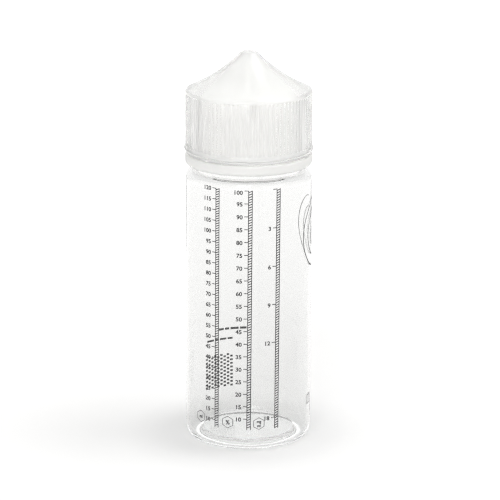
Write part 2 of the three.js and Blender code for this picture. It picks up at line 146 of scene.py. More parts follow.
# Inner cap
SKIRT_WALL = 1.1
SKIRT_BEVEL = 0.2
LEDGE_DROP = 1.0
LEDGE_LEVEL = RIM_LEVEL - LEDGE_DROP
CROWN_CLEARANCE = 0.3
CROWN_WALL = 1.0
CROWN_INNER = FLANGE_RADIUS + CROWN_CLEARANCE
CROWN_OUTER = CROWN_INNER + CROWN_WALL
CROWN_EDGE_DROP = 1.7
FLANGE_TOP = RIM_LEVEL + TIP_FLANGE
DISC_GAP = 1.2
DISC_UNDER = FLANGE_TOP + DISC_GAP
DISC_THICKNESS = 1.3
DISC_TOP = DISC_UNDER + DISC_THICKNESS
DISC_RADIUS = 14.5
SEAL_RADIUS = 13.3
SEAL_WIDTH = 1.0
SEAL_GAP = 0.3
SEAL_ROUND = 0.3
SEAL_ROUND_REACH = 0.4
SPIRE_CLEARANCE = 0.32
SPIRE_WALL = 0.5
SPIRE_ROOF = 0.9
SPIRE_TOP = SPOUT_TOP + SEAL_GAP + SPIRE_ROOF
SPIRE_ROUND = 0.5
SPIRE_FILLET = 0.5
SPIRE_FILLET_RISE = 0.4
NIB_RADIUS = 1.15
NIB_FILLET = 0.1
NIB_FILLET_RISE = 0.05
TOOTH_COUNT = 12
TOOTH_HEIGHT = 0.6
TOOTH_WIDTH = 1.6
TOOTH_SEAT = 0.1
TOOTH_INSET = 0.15

# Outer cap
SHELL_CLEARANCE = 0.45
SHELL_INNER = SKIRT_OUTER + SHELL_CLEARANCE
SHELL_WALL = 1.1
SHELL_INNER_ROUND = 0.6
SHELL_INNER_CORNER = (0.18, 0.05)
CEILING_RISE = 0.3
CEILING_MIDDLE = (0.6, 0.22)
RETAINER_BITE = 0.4
RETAINER_TOP = 1.3
RETAINER_EDGE = 0.9
RETAINER_ROUND = 0.25
FOOT_LIP_RADIUS = 21.3
FOOT_LIP_ROUND = 0.2
FOOT_LIP_TOP = 0.75
CAP_BEAD_LIFT = 1.65
CAP_BEAD_DIP = (0.35, 0.6)
CAP_BEAD_ROUND = 0.3
CAP_BEAD_ROUND_RISE = 0.35
RIB_COUNT = 88
RIB_SAMPLES = 8
RIB_DEPTH = 0.29
RIB_VALLEY = SHELL_INNER + SHELL_WALL
RIB_TIP = RIB_VALLEY + RIB_DEPTH
RIB_FOOT_LIFT = 2.5
RIB_FOOT = SHELL_FOOT + RIB_FOOT_LIFT
RIB_ROOT = (0.06, 0.25)
RIB_ROOT_TOP = 0.1
RIB_RUN = 0.45
RIB_RUN_ROWS = (0, 0.12, 0.24, 0.36, 0.48, 0.7)
RIB_START = 0.05
RIB_END = 0.02
RIB_SKIN = 0.3
RIB_TIP_SHARE = 0.34
RIB_VALLEY_SHARE = 0.3
EDGE_PROUD = 0.06
EDGE_RADIUS = RIB_TIP + EDGE_PROUD
EDGE_ROUND = 1.22
EDGE_LIFT = 0.1
EDGE_SLOPE = 23.6
DOME_EDGE_LIFT = 0.2
DOME_EDGE = DISC_TOP + DOME_EDGE_LIFT
FLANK_RADIUS = 56.75
TIP_FLAT = 1.0
TIP_ROUND = 3.15
LUG_COUNT = 6
LUG_AZIMUTH = 5.2
LUG_WIDTH = 1.7
LUG_DEPTH = 1.3
LUG_CLEARANCE = 0.4
LUG_SEAT = 0.3
LUG_ROOF = 0.75
WEB_WIDTH = 0.8
WEB_DEPTH = 0.7
WEB_SEAT = 0.1

# Print. The levels, steps and hatching of the scales are those of the part's ink solids.
INK_LIFT = 0.02
INK_THICKNESS = 0.04
BAR_WIDTH = 1.5
BAR_FOOT = foot("percent_scale")
RAIL_WIDTH = 0.26
LINE_WIDTH = 0.26
HATCH_WIDTH = 0.3
HATCH_SLANT = 22.0
TICK_LENGTH = 1.25
PRINT_LEAN = 1.25
FIGURE_HEIGHT = 1.45
FIGURE_SQUEEZE = 1.08
FIGURE_WEIGHT = 0.055
FIGURE_SHARE = 0.73
FIGURE_GAP = 0.55
FIGURE_DROP = 0.15
HEAD_FIGURE_DROP = 0.6
VOLUME_LAYOUT = {"azimuth": -28.9, "first_level": 92.2, "step": 3.71, "hatch_pitch": 0.84}
PERCENT_LAYOUT = {"azimuth": 1.7, "first_level": 92.0, "step": 4.456, "hatch_pitch": 0.89}
STRENGTH_LAYOUT = {"azimuth": 27.8, "first_level": 92.2, "step": 13.37, "hatch_pitch": 0.87}
BADGE_LINE = 0.17
BADGE_SQUEEZE = 0.95
VOLUME_BADGE_AZIMUTH = -47.5
PERCENT_BADGE_AZIMUTH = -17.7
STRENGTH_BADGE_AZIMUTH = 11.1
REAR_AZIMUTH = -151.0
DASH_ROWS = ((31.6, -9.9, (2.4, 3.0, 1.6, 1.9), 0.8), (28.0, -4.8, (1.9, 2.6, 1.5, 3.2), 0.7))
DASH_GAP = 0.5
DOT_COLUMNS = 9
DOT_ROWS = 9
DOT_START = (-4.3, 10.6)
DOT_PITCH = 1.35
DOT_COLUMN_PITCH = 1.3
DOT_LENGTH = 0.95
DOT_WIDTH = 0.7
SIDE_AZIMUTH = 92.0
SIDE_LEVEL = 73.0
SIDE_RINGS = ((12.0, 0.4), (8.2, 0.45))
RING_SIDES = 64
DROP_RADIUS = 3.4
DROP_PEAK = 5.6
DROP_SINK = 1.4
DROP_START = 25
DROP_SWEEP = 230
DROP_STEPS = 24
DROP_LINE = 0.5
FOOT_MARK_AZIMUTH = 76.0
FOOT_MARK_LEVEL = 14.2
FOOT_MARK_RADIUS = 2.2

# Fineness of the turned pieces
ROUND_SEGMENTS = 192
SPOUT_SEGMENTS = 96


# Mesh helpers. Outlines are lists of (radius, height).
def arc(radius, height, reach_, rise, start, end, steps=8):
    points = []
    for i in range(steps + 1):
        angle = math.radians(start + (end - start) * i / steps)
        points.append((radius + reach_ * math.cos(angle), height + rise * math.sin(angle)))
    return points


def round_edge(radius, height, size, start, end, steps):
    return arc(radius, height, size, size, start, end, steps)


def mesh_object(name, verts, faces):
    mesh = bpy.data.meshes.new(name)
    mesh.from_pydata(verts, [], faces)
    mesh.validate()
    piece = bpy.data.objects.new(name, mesh)
    bpy.context.scene.collection.objects.link(piece)
    return piece


def smooth(piece, angle=32):
    piece.data.shade_smooth()
    piece.data.set_sharp_from_angle(angle=math.radians(angle))
    return piece


def turned(name, outline, segments=ROUND_SEGMENTS, closed=False):
    """Turns an outline round the axis. Its points run up the outside and down the inside."""
    verts = []
    rows = []
    for radius, height in outline:
        if radius < 1e-6:
            rows.append([len(verts)])
            verts.append((0, 0, height * MM))
            continue
        row = []
        for j in range(segments):
            angle = 2 * math.pi * j / segments
            row.append(len(verts))
            verts.append((radius * math.cos(angle) * MM, radius * math.sin(angle) * MM, height * MM))
        rows.append(row)
    faces = []
    pairs = list(zip(rows, rows[1:]))
    if closed:
        pairs.append((rows[-1], rows[0]))
    for low, high in pairs:
        for j in range(segments):
            k = (j + 1) % segments
            if len(low) == 1:
                faces.append((low[0], high[k], high[j]))
            elif len(high) == 1:
                faces.append((low[j], low[k], high[0]))
            else:
                faces.append((low[j], low[k], high[k], high[j]))
    return smooth(mesh_object(name, verts, faces))


def plate(name, outline, width, azimuth):
    """A closed plate that stands on a meridian, with its outline in (radius, height)."""
    angle = math.radians(azimuth)
    out = Vector((math.sin(angle), -math.cos(angle), 0))
    side = Vector((math.cos(angle), math.sin(angle), 0))
    verts = []
    for half in (-width / 2, width / 2):
        for radius, height in outline:
            verts.append((out * radius + side * half + Vector((0, 0, height))) * MM)
    count = len(outline)
    faces = [tuple(range(count)), tuple(range(2 * count - 1, count - 1, -1))]
    for i in range(count):
        j = (i + 1) % count
        faces.append((i, i + count, j + count, j))
    return mesh_object(name, verts, faces)


def join_into(target, *others):
    """Adds the meshes of the others to the target's mesh and removes them."""
    verts = [v.co.copy() for v in target.data.vertices]
    faces = [tuple(p.vertices) for p in target.data.polygons]
    for other in others:
        start = len(verts)
        verts += [v.co.copy() for v in other.data.vertices]
        faces += [tuple(start + i for i in p.vertices) for p in other.data.polygons]
        bpy.data.objects.remove(other)
    name = target.name
    bpy.data.objects.remove(target)
    return mesh_object(name, verts, faces)


# Geometry Nodes helpers
def new_tree(name, sizes):
    tree = bpy.data.node_groups.new(name, "GeometryNodeTree")
    tree.interface.new_socket("Geometry", in_out="INPUT", socket_type="NodeSocketGeometry")
    for label, value in sizes.items():
        kind = "NodeSocketInt" if isinstance(value, int) else "NodeSocketFloat"
        tree.interface.new_socket(label, in_out="INPUT", socket_type=kind).default_value = value
    tree.interface.new_socket("Material", in_out="INPUT", socket_type="NodeSocketMaterial")
    tree.interface.new_socket("Geometry", in_out="OUTPUT", socket_type="NodeSocketGeometry")
    return tree, tree.nodes.new("NodeGroupInput"), tree.nodes.new("NodeGroupOutput")


def math_node(tree, operation, *values):
    node = tree.nodes.new("ShaderNodeMath")
    node.operation = operation
    for socket, value in zip(node.inputs, values):
        if isinstance(value, bpy.types.NodeSocket):
            tree.links.new(value, socket)
        else:
            socket.default_value = value
    return node.outputs[0]


def ramp_node(tree, value, low, high):
    """A smooth step from 0 at low to 1 at high."""
    node = tree.nodes.new("ShaderNodeMapRange")
    node.interpolation_type = "SMOOTHSTEP"
    for socket, source in zip(node.inputs[:3], (value, low, high)):
        if isinstance(source, bpy.types.NodeSocket):
            tree.links.new(source, socket)
        else:
            socket.default_value = source
    return node.outputs[0]


def finish_tree(tree, given, result, geometry):
    realize = tree.nodes.new("GeometryNodeRealizeInstances")
    paint = tree.nodes.new("GeometryNodeSetMaterial")
    tree.links.new(geometry, realize.inputs["Geometry"])
    tree.links.new(realize.outputs["Geometry"], paint.inputs["Geometry"])
    tree.links.new(given.outputs["Material"], paint.inputs["Material"])
    tree.links.new(paint.outputs["Geometry"], result.inputs["Geometry"])


def grown(piece, tree, sizes, material):
    """Runs a tree on a piece with the given sizes, and leaves its result as the piece's plain mesh."""
    modifier = piece.modifiers.new("growth", "NODES")
    modifier.node_group = tree
    for item in tree.interface.items_tree:
        if item.in_out == "INPUT" and item.name in sizes:
            modifier[item.identifier] = sizes[item.name]
        if item.in_out == "INPUT" and item.name == "Material":
            modifier[item.identifier] = material
    graph = bpy.context.evaluated_depsgraph_get()
    made = bpy.data.meshes.new_from_object(piece.evaluated_get(graph))
    piece.modifiers.remove(modifier)
    piece.data = made
    return piece


def rib_tree():
    """Sinks valleys between evenly spaced ribs into the outside of a turned wall."""
    sizes = {"Count": 8, "Depth": 0.1, "Foot": 0.0, "Top": 1.0}
    sizes.update({"Run": 0.1, "Wall": 1.0, "Tip": 0.3, "Valley": 0.3})
    tree, given, result = new_tree("grip_ribs", sizes)
    links = tree.links
    place = tree.nodes.new("GeometryNodeInputPosition")
    split = tree.nodes.new("ShaderNodeSeparateXYZ")
    links.new(place.outputs[0], split.inputs[0])
    x, y, z = split.outputs
    squares = math_node(tree, "ADD", math_node(tree, "MULTIPLY", x, x), math_node(tree, "MULTIPLY", y, y))
    radius = math_node(tree, "SQRT", squares)
    turn = math_node(tree, "DIVIDE", math_node(tree, "ARCTAN2", y, x), 2 * math.pi)
    pitches = math_node(tree, "MULTIPLY", turn, given.outputs["Count"])
    share = math_node(tree, "FRACT", pitches)
    away = math_node(tree, "ABSOLUTE", math_node(tree, "SUBTRACT", share, 0.5))
    from_tip = math_node(tree, "SUBTRACT", 0.5, away)
    tip_edge = math_node(tree, "DIVIDE", given.outputs["Tip"], 2.0)
    valley_edge = math_node(tree, "SUBTRACT", 0.5, math_node(tree, "DIVIDE", given.outputs["Valley"], 2.0))
    valley = ramp_node(tree, from_tip, tip_edge, valley_edge)
    near_foot = math_node(tree, "ADD", given.outputs["Foot"], given.outputs["Run"])
    above = ramp_node(tree, z, given.outputs["Foot"], near_foot)
    near_top = math_node(tree, "SUBTRACT", given.outputs["Top"], given.outputs["Run"])
    below = math_node(tree, "SUBTRACT", 1.0, ramp_node(tree, z, near_top, given.outputs["Top"]))
    outside = math_node(tree, "GREATER_THAN", radius, given.outputs["Wall"])
    mask = math_node(tree, "MULTIPLY", math_node(tree, "MULTIPLY", above, below), outside)
    sink = math_node(tree, "MULTIPLY", math_node(tree, "MULTIPLY", valley, mask), given.outputs["Depth"])
    factor = math_node(tree, "DIVIDE", math_node(tree, "MULTIPLY", sink, -1.0), radius)
    shift = tree.nodes.new("ShaderNodeCombineXYZ")
    links.new(math_node(tree, "MULTIPLY", x, factor), shift.inputs[0])
    links.new(math_node(tree, "MULTIPLY", y, factor), shift.inputs[1])
    move = tree.nodes.new("GeometryNodeSetPosition")
    links.new(given.outputs["Geometry"], move.inputs["Geometry"])
    links.new(shift.outputs[0], move.inputs["Offset"])
    finish_tree(tree, given, result, move.outputs[0])
    return tree


def ring_tree():
    """Copies its geometry round the axis."""
    tree, given, result = new_tree("round_the_axis", {"Count": 6, "Start": 0.0})
    links = tree.links
    line = tree.nodes.new("GeometryNodeMeshLine")
    links.new(given.outputs["Count"], line.inputs["Count"])
    line.inputs["Offset"].default_value = (0, 0, 0)
    index = tree.nodes.new("GeometryNodeInputIndex")
    step = math_node(tree, "DIVIDE", 2 * math.pi, given.outputs["Count"])
    share = math_node(tree, "MULTIPLY", index.outputs[0], step)
    angle = math_node(tree, "ADD", share, given.outputs["Start"])
    turn = tree.nodes.new("ShaderNodeCombineXYZ")
    links.new(angle, turn.inputs[2])
    place = tree.nodes.new("GeometryNodeInstanceOnPoints")
    links.new(line.outputs[0], place.inputs["Points"])
    links.new(given.outputs["Geometry"], place.inputs["Instance"])
    links.new(turn.outputs[0], place.inputs["Rotation"])
    finish_tree(tree, given, result, place.outputs[0])
    return tree


def stroke_tree():
    """Rows of equal strokes up a flat sheet: ticks and hatching."""
    sizes = {"Count": 10, "Pitch": 1.0, "First": 0.0, "Along": 0.0}
    sizes.update({"Length": 1.0, "Width": 0.2, "Thickness": 0.1, "Slant": 0.0})
    tree, given, result = new_tree("print_strokes", sizes)
    links = tree.links
    line = tree.nodes.new("GeometryNodeMeshLine")
    start = tree.nodes.new("ShaderNodeCombineXYZ")
    step = tree.nodes.new("ShaderNodeCombineXYZ")
    links.new(given.outputs["Count"], line.inputs["Count"])
    links.new(given.outputs["Along"], start.inputs[0])
    links.new(given.outputs["First"], start.inputs[1])
    links.new(math_node(tree, "DIVIDE", given.outputs["Thickness"], 2.0), start.inputs[2])
    links.new(given.outputs["Pitch"], step.inputs[1])
    links.new(start.outputs[0], line.inputs["Start Location"])
    links.new(step.outputs[0], line.inputs["Offset"])
    size = tree.nodes.new("ShaderNodeCombineXYZ")
    links.new(given.outputs["Length"], size.inputs[0])
    links.new(given.outputs["Width"], size.inputs[1])
    links.new(given.outputs["Thickness"], size.inputs[2])
    bar = tree.nodes.new("GeometryNodeMeshCube")
    links.new(size.outputs[0], bar.inputs["Size"])
    turn = tree.nodes.new("ShaderNodeCombineXYZ")
    links.new(given.outputs["Slant"], turn.inputs[2])
    place = tree.nodes.new("GeometryNodeInstanceOnPoints")
    links.new(line.outputs[0], place.inputs["Points"])
    links.new(bar.outputs[0], place.inputs["Instance"])
    links.new(turn.outputs[0], place.inputs["Rotation"])
    finish_tree(tree, given, result, place.outputs[0])
    return tree


# Material helpers
class Finish:
    """A material under construction, with its nodes near at hand."""

    def __init__(self, name):
        self.material = bpy.data.materials.new(name)
        self.material.use_nodes = True
        self.nodes = self.material.node_tree.nodes
        self.links = self.material.node_tree.links
        self.shader = self.nodes["Principled BSDF"]

    def set(self, **values):
        for label, value in values.items():
            self.shader.inputs[label.replace("_", " ")].default_value = value
        return self

    def noise(self, scale, stretch=(1, 1, 1), detail=3.0):
        place = self.nodes.new("ShaderNodeTexCoord")
        mapping = self.nodes.new("ShaderNodeMapping")
        mapping.inputs["Scale"].default_value = stretch
        cloud = self.nodes.new("ShaderNodeTexNoise")
        cloud.inputs["Scale"].default_value = scale
        cloud.inputs["Detail"].default_value = detail
        self.links.new(place.outputs["Object"], mapping.inputs["Vector"])
        self.links.new(mapping.outputs["Vector"], cloud.inputs["Vector"])
        return cloud.outputs["Fac"]

    def bump(self, height, strength, distance):
        bump = self.nodes.new("ShaderNodeBump")
        bump.inputs["Strength"].default_value = strength
        bump.inputs["Distance"].default_value = distance * MM
        self.links.new(height, bump.inputs["Height"])
        self.links.new(bump.outputs["Normal"], self.shader.inputs["Normal"])
        return self

    def tint(self, factor, first, second):
        mix = self.nodes.new("ShaderNodeMix")
        mix.data_type = "RGBA"
        self.links.new(factor, mix.inputs["Factor"])
        mix.inputs["A"].default_value = (*first, 1)
        mix.inputs["B"].default_value = (*second, 1)
        self.links.new(mix.outputs["Result"], self.shader.inputs["Base Color"])
        return self

    def roughen(self, factor, low, high):
        spread = self.nodes.new("ShaderNodeMapRange")
        spread.inputs["To Min"].default_value = low
        spread.inputs["To Max"].default_value = high
        self.links.new(factor, spread.inputs["Value"])
        self.links.new(spread.outputs["Result"], self.shader.inputs["Roughness"])
        return self

    def let_lamps_through(self, colour):
        """Lamps' light passes straight through, weakened by this colour at each face."""
        path = self.nodes.new("ShaderNodeLightPath")
        clear = self.nodes.new("ShaderNodeBsdfTransparent")
        clear.inputs["Color"].default_value = (*colour, 1)
        mix = self.nodes.new("ShaderNodeMixShader")
        self.links.new(path.outputs["Is Shadow Ray"], mix.inputs[0])
        self.links.new(self.shader.outputs[0], mix.inputs[1])
        self.links.new(clear.outputs[0], mix.inputs[2])
        self.links.new(mix.outputs[0], self.nodes["Material Output"].inputs["Surface"])
        return self


def clear_blown_plastic():
    finish = Finish("clear_blown_plastic")
    finish.set(IOR=1.35, Transmission_Weight=1.0)
    finish.tint(finish.noise(60), (0.918, 0.92, 0.918), (0.93, 0.93, 0.926))
    finish.roughen(finish.noise(900), 0.0, 0.03)
    finish.bump(finish.noise(45, (1, 1, 0.25), 2.0), 0.35, 0.25)
    finish.let_lamps_through((0.75, 0.755, 0.755))
    return finish.material


def clear_cap_plastic():
    finish = Finish("clear_ribbed_cap_plastic")
    finish.set(IOR=1.4, Transmission_Weight=0.72)
    finish.tint(finish.noise(80), (0.965, 0.965, 0.96), (0.98, 0.98, 0.975))
    finish.roughen(finish.noise(600), 0.13, 0.16)
    finish.bump(finish.noise(700), 0.04, 0.05)
    finish.let_lamps_through((0.78, 0.78, 0.775))
    return finish.material


def milky_plastic(name, transmission, lamp_share):
    finish = Finish(name)
    finish.set(IOR=1.45, Transmission_Weight=transmission)
    finish.tint(finish.noise(70), (0.97, 0.97, 0.958), (0.985, 0.985, 0.976))
    finish.roughen(finish.noise(500), 0.45, 0.55)
    finish.bump(finish.noise(900), 0.1, 0.04)
    finish.let_lamps_through((lamp_share, lamp_share, lamp_share))
    return finish.material


def screen_ink():
    finish = Finish("screen_print_ink")
    finish.tint(finish.noise(1500), (0.018, 0.018, 0.02), (0.04, 0.04, 0.042))
    finish.roughen(finish.noise(1200), 0.4, 0.6)
    return finish.material


# Outlines of the turned pieces
def bottle_outline():
    heel_radius = BODY_RADIUS - HEEL_REACH
    punt_radius = heel_radius - FOOT_WIDTH
    punt_span = punt_radius - PUNT_ROUND
    inner = BODY_RADIUS - BODY_WALL
    wall_height = WALL_TOP - HEEL_HEIGHT
    bead_centre = ROOT_RADIUS + BEAD_STEP - BEAD_ROUND
    bead_top = BEAD_FOOT + BEAD_HEIGHT

    def dome(share):
        """The raised base, a third of its rise lower at its edge than in its middle."""
        return PUNT_RISE - PUNT_RISE / 3 * share * share

    under = [(punt_span * i / PUNT_ROWS, dome(i / PUNT_ROWS)) for i in range(PUNT_ROWS + 1)]
    outside = under[:-1]
    outside += arc(punt_span, 0, PUNT_ROUND, dome(1), 90, 0, 8)
    outside += arc(heel_radius, HEEL_HEIGHT, HEEL_REACH, HEEL_HEIGHT, -90, 0, 14)
    outside += [(BODY_RADIUS, HEEL_HEIGHT + wall_height * i / WALL_ROWS) for i in range(1, WALL_ROWS)]
    outside += arc(ROOT_RADIUS, WALL_TOP, BODY_RADIUS - ROOT_RADIUS, SHOULDER_RISE, 0, 90, 14)
    outside += [(ROOT_RADIUS, SHOULDER_TOP + ROOT_FOOT_RISE), (ROOT_RADIUS, BEAD_FOOT - ROOT_HEAD_DROP)]
    outside += arc(bead_centre, BEAD_FOOT + BEAD_ROUND_LEVEL, BEAD_ROUND, BEAD_ROUND_RISE, -90, 0, 4)
    outside += arc(bead_centre, bead_top - BEAD_ROUND_LEVEL, BEAD_ROUND, BEAD_ROUND_RISE, 0, 90, 4)
    outside += [(NECK_RADIUS + NECK_FLARE, bead_top + NECK_FLARE_RISE)]
    outside += [(NECK_RADIUS, bead_top + NECK_FOOT_RISE)]
    outside += round_edge(NECK_RADIUS - EDGE_FILLET, RIM_LEVEL - EDGE_FILLET, EDGE_FILLET, 0, 90, 4)
    inside = round_edge(BORE_RADIUS + EDGE_FILLET, RIM_LEVEL - EDGE_FILLET, EDGE_FILLET, 90, 180, 4)
    inside += [(BORE_RADIUS, BEAD_FOOT + BORE_FOOT_RISE), (ROOT_BORE, BEAD_FOOT - BORE_STEP_DROP)]
    inside += [(ROOT_BORE, SHOULDER_TOP + ROOT_BORE_RISE)]
    shoulder_reach = inner - ROOT_BORE + SHOULDER_INSET
    shoulder_rise = SHOULDER_RISE - BODY_WALL / 2
    inside += arc(ROOT_BORE - SHOULDER_INSET, WALL_TOP - BODY_WALL, shoulder_reach, shoulder_rise, 75, 0, 16)
    inside += [(inner, WALL_TOP - wall_height * i / WALL_ROWS) for i in range(1, WALL_ROWS)]
    inside += arc(heel_radius, HEEL_HEIGHT, inner - heel_radius, HEEL_HEIGHT - FLOOR_THICKNESS, 0, -90, 12)
    inside += [(punt_radius - inset, FLOOR_THICKNESS + lift) for inset, lift in PUNT_FLARE]
    inside += [(radius, height + FLOOR_THICKNESS) for radius, height in reversed(under)]
    return outside + inside


def ring_outline():
    hook = ROOT_RADIUS + RING_CLEARANCE
    wide = ROOT_RADIUS + BEAD_STEP + RING_CLEARANCE
    hook_top = BEAD_FOOT - RING_CLEARANCE
    foot_centre = (RING_RADIUS - RING_FOOT_REACH, RING_FOOT + RING_FOOT_ROUND)
    top_centre = (RING_RADIUS - RING_TOP_ROUND, RING_TOP - RING_TOP_ROUND)
    points = [(hook + RING_FOOT_BEVEL, RING_FOOT)]
    points += arc(*foot_centre, RING_FOOT_REACH, RING_FOOT_ROUND, -90, 0, 12)
    points += round_edge(*top_centre, RING_TOP_ROUND, 0, 90, 8)
    points += [(wide + RING_TOP_BEVEL, RING_TOP), (wide, RING_TOP - RING_TOP_BEVEL), (wide, hook_top)]
    points += [(hook, hook_top - RING_CLEARANCE), (hook, RING_FOOT + RING_FOOT_BEVEL)]
    return points


def tip_outline():
    plug = BORE_RADIUS - PLUG_CLEARANCE
    inner = plug - TIP_WALL
    spout_foot = FLANGE_TOP + SPOUT_ROOT_RISE
    waist = SPOUT_ROOT_RADIUS - SPOUT_WAIST
    points = [(inner, PLUG_FOOT), (plug - PLUG_BEVEL, PLUG_FOOT), (plug, PLUG_FOOT + PLUG_BEVEL)]
    points += [(plug, RIM_LEVEL), (FLANGE_RADIUS, RIM_LEVEL)]
    points += round_edge(FLANGE_RADIUS - EDGE_FILLET, FLANGE_TOP - EDGE_FILLET, EDGE_FILLET, 0, 90, 4)
    points += [(SPOUT_ROOT_RADIUS + SPOUT_ROOT_FILLET, FLANGE_TOP), (SPOUT_ROOT_RADIUS, spout_foot)]
    for i in range(1, SPOUT_ROWS):
        share = i / SPOUT_ROWS
        radius = SPOUT_RADIUS + (waist - SPOUT_RADIUS) * (1 - share) ** SPOUT_CURVE
        points.append((radius, spout_foot + (SPOUT_TAPER - SPOUT_ROOT_RISE) * share))
    points += [(SPOUT_RADIUS, FLANGE_TOP + SPOUT_TAPER)]
    points += round_edge(SPOUT_RADIUS - EDGE_FILLET, SPOUT_TOP - EDGE_FILLET, EDGE_FILLET, 0, 90, 4)
    points += [(SPOUT_BORE, SPOUT_TOP), (SPOUT_BORE, FLANGE_TOP + SPOUT_TAPER / 2)]
    points += [(SPOUT_ROOT_RADIUS / 2, RIM_LEVEL), (inner, RIM_LEVEL)]
    return points


def inner_cap_outline():
    room = SPOUT_RADIUS + SPIRE_CLEARANCE
    room_root = SPOUT_ROOT_RADIUS + SPIRE_CLEARANCE
    room_taper = FLANGE_TOP + SPOUT_TAPER
    room_top = SPOUT_TOP + SEAL_GAP
    spire = room + SPIRE_WALL
    spire_root = room_root + SPIRE_WALL
    seal_centre = (SEAL_RADIUS, FLANGE_TOP + SEAL_GAP + SEAL_ROUND)
    skirt_inner = SKIRT_OUTER - SKIRT_WALL
    crown_edge = DISC_TOP - CROWN_EDGE_DROP
    points = [(0, room_top), (room - EDGE_FILLET, room_top), (room, room_top - EDGE_FILLET)]
    points += [(room, room_taper), (room_root, DISC_UNDER), (SEAL_RADIUS - SEAL_WIDTH / 2, DISC_UNDER)]
    points += arc(*seal_centre, SEAL_ROUND_REACH, SEAL_ROUND, 180, 360, 6)
    points += [(SEAL_RADIUS + SEAL_WIDTH / 2, DISC_UNDER), (DISC_RADIUS, DISC_UNDER)]
    points += [(CROWN_INNER, DISC_UNDER - CROWN_EDGE_DROP / 2), (CROWN_INNER, LEDGE_LEVEL)]
    points += [(skirt_inner, LEDGE_LEVEL - SKIRT_WALL), (skirt_inner, SKIRT_FOOT + SKIRT_BEVEL)]
    points += [(skirt_inner + SKIRT_BEVEL, SKIRT_FOOT), (SKIRT_OUTER - SKIRT_BEVEL, SKIRT_FOOT)]
    points += [(SKIRT_OUTER, SKIRT_FOOT + SKIRT_BEVEL)]
    points += round_edge(SKIRT_OUTER - EDGE_FILLET, LEDGE_LEVEL - EDGE_FILLET, EDGE_FILLET, 0, 90, 4)
    points += [(CROWN_OUTER, LEDGE_LEVEL), (CROWN_OUTER, crown_edge)]
    points += arc(DISC_RADIUS, crown_edge, CROWN_OUTER - DISC_RADIUS, CROWN_EDGE_DROP, 15, 90, 8)
    points += [(spire_root + SPIRE_FILLET, DISC_TOP), (spire_root, DISC_TOP + SPIRE_FILLET_RISE)]
    points += [(spire + SPIRE_WALL / 3, room_taper)]
    points += round_edge(spire - SPIRE_ROUND, SPIRE_TOP - SPIRE_ROUND, SPIRE_ROUND, 0, 90, 5)
    points += [(NIB_RADIUS + NIB_FILLET, SPIRE_TOP + NIB_FILLET_RISE)]
    points += round_edge(0, NIB_TOP - NIB_RADIUS, NIB_RADIUS, 0, 84, 6)
    points += [(0, NIB_TOP)]
    return points


# The dome of the outer cap: a rounded edge, a hollow flank on a large arc and a blunt rounded tip
edge_sine = math.sin(math.radians(EDGE_SLOPE))
edge_cosine = math.cos(math.radians(EDGE_SLOPE))
flank_foot = EDGE_RADIUS - EDGE_ROUND * (1 - edge_sine)
flank_centre_radius = flank_foot + FLANK_RADIUS * edge_sine
flank_centre_level = DOME_EDGE + (EDGE_ROUND + FLANK_RADIUS) * edge_cosine
tip_sine = (edge_sine + (flank_foot - TIP_FLAT) / FLANK_RADIUS) / (1 + TIP_ROUND / FLANK_RADIUS)
flank_head = TIP_FLAT + TIP_ROUND * tip_sine


def flank_level(radius, depth):
    across = flank_centre_radius - radius
    return flank_centre_level - math.sqrt((FLANK_RADIUS + depth) ** 2 - across**2)


def flank(start, end, depth, steps=16):
    radii = [start + (end - start) * i / steps for i in range(steps + 1)]
    return [(radius, flank_level(radius, depth)) for radius in radii]


